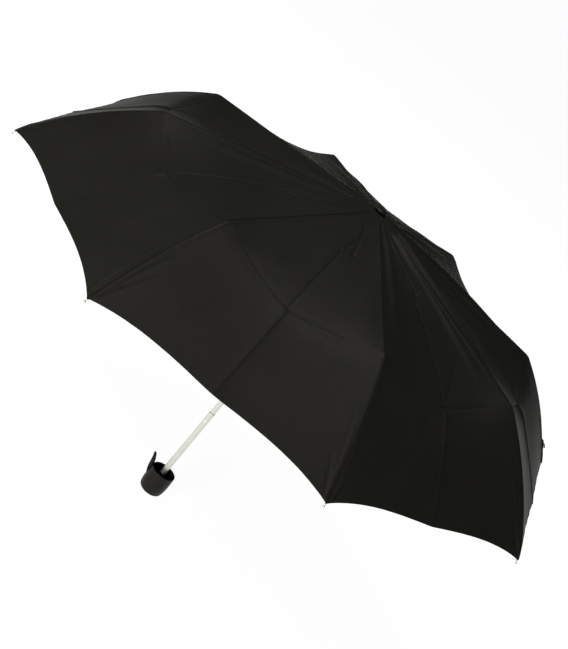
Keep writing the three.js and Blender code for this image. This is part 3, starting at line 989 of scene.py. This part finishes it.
def stretcher_solid():
    """A tongue on the runner's wire that opens into two strips, one each side of the rib."""
    line = Line(RUNNER_HINGE, heading(RUNNER_HINGE, LINK))
    reach = float(np.hypot(*(LINK - RUNNER_HINGE)))
    half, eye = STRETCHER_HALF, LINK_EYE
    strip = [line.at(FORK_START, -half), line.at(reach, -half)]
    for a in np.linspace(-1.1, 1.1, 7):
        strip.append(line.at(reach + eye * math.cos(a), eye * math.sin(a)))
    strip += [line.at(reach, half), line.at(FORK_START, half)]
    tie = oblong(line, FORK_START, FORK_END, half)
    return merge(
        pin_solid(RUNNER_HINGE, EYE_HALF_LENGTH, RUNNER_EYE),
        channel_solid(straight(line, 0.0012, FORK_END), half_height=half, sheet=0.0009),
        plate_solid(tie, -EAR_OUT, EAR_OUT),
        plate_solid(strip, EAR_IN, EAR_OUT),
        plate_solid(strip, -EAR_OUT, -EAR_IN),
    )


def make_ribs():
    """Eight turned copies of each part of a rib, in place of their CAD nodes."""
    pieces = {
        "top_rib": (top_rib_solid(), "top_rib", ZINC, "steel"),
        "mid_rib": (mid_rib_solid(), "mid_rib", ZINC, "steel"),
        "outer_rib": (outer_rib_solid(), "outer_rib", ZINC, "steel"),
        "rib_tip": (rib_tip_solid(), "outer_rib", NICKEL, "rib_tips"),
        "stretcher": (stretcher_solid(), "stretcher", ZINC, "steel"),
    }
    for number in range(1, RIBS + 1):
        for node, (solid, body, material, slot) in pieces.items():
            obj = solid.turned((number % RIBS) * STEP).make(f"{node}_{number}_metal", material)
            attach(obj, f"{body}_{number}")
            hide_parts(f"{node}_{number}")


make_ribs()

# ------------ shaft, cap and handle


def fitting(solid, name, node, body, material, sharp):
    """Makes a solid that takes the place of one CAD node."""
    obj = solid.make(name, material, sharp)
    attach(obj, body)
    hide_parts(node)


def tube_profile(outside, bore, low, high):
    """A drawn tube whose upper end is rolled in a little."""
    lip = 0.0008
    return (
        [np.array([bore, low]), np.array([outside, low])]
        + divided([np.array([outside, low + 0.0005]), np.array([outside, high - lip])], 0.004)
        + [np.array([outside - 0.0001, high - lip * 0.4]), np.array([outside - 0.0003, high])]
        + [np.array([bore, high - 0.0001]), np.array([bore, high - lip]), np.array([bore, low])]
    )


def catch_dimple(azimuth, height, depth=0.0005, size=0.0016):
    """A small punched dimple that the next tube's catch snaps behind."""

    def push(angles, r, z):
        turn = (angles - azimuth + math.pi) % (2 * math.pi) - math.pi
        return -depth * np.exp(-((turn * r) ** 2 + (z - height) ** 2) / size**2)

    return push


TUBES = {
    # name: body, outside radius, bore
    "lower_tube": ("handle", 0.0048, 0.00445),
    "mid_tube": ("mid_tube", 0.0042, 0.00385),
    "upper_tube": ("upper_tube", 0.0036, 0.0032),
}
SHAFT_SEGMENTS, CUP_SEGMENTS = 64, 128
CATCH_AZIMUTH, CATCH_DROP = STEP * 4.4, 0.015  # drop from a tube's upper end


def make_shaft():
    """Three drawn tubes, each with a dimple for the catch near its upper end."""
    for name, (body, outside, bore) in TUBES.items():
        low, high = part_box(name)
        profile = divided(tube_profile(outside, bore, low.z, high.z), 0.001)
        push = catch_dimple(CATCH_AZIMUTH, high.z - CATCH_DROP)
        solid = lathe(profile, SHAFT_SEGMENTS, push)
        fitting(solid, f"{name}_drawn", name, body, CHROME, 50)


CAP_STEM, CAP_HEIGHT = 0.0030, 0.0046  # its stem's radius, and the button over the stem


def make_cap():
    """A low domed button on a stem."""
    low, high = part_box("crown_cap")
    half, top = high.x, high.z
    face = top - CAP_HEIGHT
    profile = filleted([
        (0, low.z, 0), (CAP_STEM, low.z, 0.0002), (CAP_STEM, face, 0.0002), (half, face, 0.0006),
        (half, top - 0.0022, 0.0016), (0.6 * half, top - 0.0004, 0.003), (0, top, 0),
    ])
    solid = lathe(divided(profile, 0.0008), SHAFT_SEGMENTS)
    fitting(solid, "crown_cap_moulded", "crown_cap", "upper_tube", BLACK, 40)


CUP_RIM, CUP_OUT, CUP_IN = 0.041, 0.0200, 0.0180  # height and radii of the rim
CUP_BELLY, CUP_FOOT, CUP_FLOOR = 0.0208, 0.0120, 0.0052
SOCKET_TOP, SOCKET_OUT, SOCKET_IN = 0.020, 0.0068, 0.0050


def make_cup():
    """A bucket with a slight belly, a rounded foot, and a socket for the shaft inside."""
    foot = [(0, 0, 0), (CUP_FOOT, 0, 0.001), (0.0186, 0.0030, 0.0055), (0.0203, 0.0130, 0.006)]
    side = [(CUP_BELLY, 0.020, 0.006), (0.0205, 0.031, 0.006)]
    rim = [(CUP_OUT, CUP_RIM, 0.0007), (CUP_IN, CUP_RIM, 0.0009)]
    inside = [(0.0180, 0.030, 0.004), (0.0178, 0.0110, 0.003), (0.0158, 0.0060, 0.004)]
    socket = [
        (SOCKET_OUT, 0.0046, 0.001), (SOCKET_OUT, SOCKET_TOP, 0.0006),
        (SOCKET_IN, SOCKET_TOP, 0.0004), (SOCKET_IN, CUP_FLOOR, 0), (0, CUP_FLOOR, 0),
    ]
    profile = filleted(foot + side + rim + inside + socket)
    solid = lathe(divided(profile, 0.0012), CUP_SEGMENTS)
    fitting(solid, "handle_cup_moulded", "handle_cup", "handle", CUP_BLACK, 45)


HOOK_AZIMUTH = math.radians(115)
HOOK_ROOT, HOOK_TOP = 0.0235, 0.0578  # heights where it leaves the cup and ends
HOOK_SIDES = 32


def make_hook():
    """A horn that rises off the cup's side and leans outwards, with a rounded end."""
    rings = []
    for s in np.linspace(0, 1, 34):
        near = 0.0198 + 0.0076 * max(0.0, 2 * s - 1) ** 1.5
        far = 0.0208 + 0.0100 * s**0.78 + 0.0006 * math.sin(2 * math.pi * s)
        half = 0.0052 - 0.0028 * float(smoothstep(0.0, 1.0, s))
        end = math.sqrt(max(1e-4, 1 - max(0.0, (s - 0.94) / 0.06) ** 2))
        z = HOOK_ROOT + (HOOK_TOP - HOOK_ROOT) * s
        middle, reach = (near + far) / 2, (far - near) / 2 * end
        ring = []
        for a in circle(HOOK_SIDES):
            c, w = math.cos(a), math.sin(a)
            squared = (c**4 + w**4) ** -0.25
            ring.append((middle + reach * c * squared, half * end * w * squared, z))
        rings.append(ring)
    solid = Solid().skin(rings).turned(HOOK_AZIMUTH)
    fitting(solid, "thumb_hook_moulded", "thumb_hook", "handle", BLACK, 60)


make_shaft()
make_cap()
make_cup()
make_hook()

# ------------ closing strap

STRAP_RIB = 7
STRAP_ROWS = (1.77, 1.97)  # it lies between these rows
STRAP_HALF = 0.006  # half its width
STRAP_COLUMNS = 13


def make_strap():
    """A ribbon folded back on itself over the end of one rib, and held by its snap."""
    azimuth = STRAP_RIB * STEP
    out = np.linspace(*STRAP_ROWS, 22)
    lower = [(row, 0.0014) for row in out]
    turn = [(STRAP_ROWS[1] + 0.002, 0.0018)]
    upper = [(row, 0.0022 + 0.0003 * math.sin(40 * row)) for row in out[::-1]]
    widths = np.linspace(-1, 1, STRAP_COLUMNS)
    up = swing(OUTER.up, azimuth)
    rows = []
    for row, lift in lower + turn + upper:
        line = []
        for w in widths:
            reach = abs(w) * STRAP_HALF / (float(edge_line(row)[0]) * math.sin(STEP / 2))
            x = reach / 2 if w >= 0 else 1 - reach / 2
            gore = STRAP_RIB if w >= 0 else STRAP_RIB - 1
            p = base_surface(np.array(row), np.array(x), np.array(gore))
            line.append(p + up * (lift + 0.0002 * (1 - w**4)))
        rows.append(line)
    grid = np.array(rows)
    faces = grid_faces(len(grid), len(widths))
    obj = add_mesh("tie_strap_ribbon", grid.reshape(-1, 3), faces, STRAP_CLOTH)
    across = np.broadcast_to(widths * STRAP_HALF, grid.shape[:2])
    lay_flat(obj.data, across, grid[:, STRAP_COLUMNS // 2])
    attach(obj, f"outer_rib_{STRAP_RIB}")
    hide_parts("tie_strap")


make_strap()

# ------------ finishes of the CAD pieces

FINISH = {
    "crown": BLACK, "crown_washer": BLACK, "runner": BLACK, "release_button": BLACK,
    "crown_wire": ZINC, "runner_wire": ZINC, "release_spring": ZINC, "strap_snap": ZINC,
}
for node, material in FINISH.items():
    data = frame["nodes"][node].data
    data.materials.clear()
    data.materials.append(material)

# ------------ floor, light and camera

FLOOR_REACH, FLOOR_GAP = 60.0, 0.0006
FLOOR_GLOW = 0.96


def make_floor():
    """A grey floor that glows, so that it looks white and takes faint shadows."""
    n = Nodes("floor")
    n.link(n.ramp(n.noise(3.0), (0.28, 0.28, 0.28), (0.30, 0.30, 0.30)), "Base Color")
    n.shade(Roughness=0.95, Specular_IOR_Level=0.0)
    n.shade(Emission_Color=(1, 1, 1, 1), Emission_Strength=FLOOR_GLOW)
    size, height = FLOOR_REACH, CAD_BOX[0].z - FLOOR_GAP
    corners = [(x * size, y * size, height) for x, y in ((-1, -1), (1, -1), (1, 1), (-1, 1))]
    add_mesh("floor", corners, [(0, 1, 2, 3)], n.material)


VIEW = {
    # a place in metres, two directions, and millimetres of lens
    "place": Vector((-1.7426, -0.7919, 1.0556)),
    "forward": Vector((0.853, 0.389, -0.346)).normalized(),
    "up": Vector((-0.023, 0.693, 0.721)),
    "lens": 78.0,
}


def make_camera():
    """The photograph's viewpoint."""
    data = bpy.data.cameras.new("camera")
    data.lens = VIEW["lens"]
    data.sensor_width = 36.0
    data.clip_end = 200.0
    camera = bpy.data.objects.new("camera", data)
    bpy.context.scene.collection.objects.link(camera)
    back = -VIEW["forward"]
    right = VIEW["up"].cross(back).normalized()
    up = back.cross(right)
    turn = Matrix((right, up, back)).transposed().to_4x4()
    camera.matrix_world = Matrix.Translation(VIEW["place"]) @ turn
    bpy.context.scene.camera = camera


LIGHT_CENTRE, LIGHT_DISTANCE = Vector((0, 0, 0.42)), 2.6
WORLD_LIGHT = 0.03
SOFTBOXES = {
    # name: direction from the canopy, width in metres, power in watts
    "key": ((-0.71, 0.0, 0.71), 1.4, 14),
    "low": ((-0.99, -0.12, 0.02), 0.4, 26),
    "top": ((-0.05, 0.2, 1.0), 1.4, 34),
    "side": ((-0.1, 0.96, 0.26), 1.4, 2.5),
}


def add_softbox(name, direction, size, power):
    """A square soft light that faces the canopy."""
    data = bpy.data.lights.new(name, "AREA")
    data.shape = "SQUARE"
    data.size = size
    data.energy = power
    light = bpy.data.objects.new(name, data)
    bpy.context.scene.collection.objects.link(light)
    towards = Vector(direction).normalized()
    light.location = LIGHT_CENTRE + towards * LIGHT_DISTANCE
    light.rotation_euler = towards.to_track_quat("Z", "Y").to_euler()


def make_lights():
    """The world looks white but lights almost nothing; the floor and four softboxes do."""
    world = bpy.data.worlds.new("studio")
    bpy.context.scene.world = world
    world.use_nodes = True
    nodes, links = world.node_tree.nodes, world.node_tree.links
    background = nodes["Background"].inputs
    background["Color"].default_value = (1.0, 1.0, 1.0, 1)
    seen = nodes.new("ShaderNodeMapRange")
    seen.inputs["To Min"].default_value = WORLD_LIGHT
    links.new(nodes.new("ShaderNodeLightPath").outputs["Is Camera Ray"], seen.inputs["Value"])
    links.new(seen.outputs["Result"], background["Strength"])
    for name, settings in SOFTBOXES.items():
        add_softbox(name, *settings)
    bpy.context.scene.view_settings.view_transform = "Standard"


make_floor()
make_camera()
make_lights()
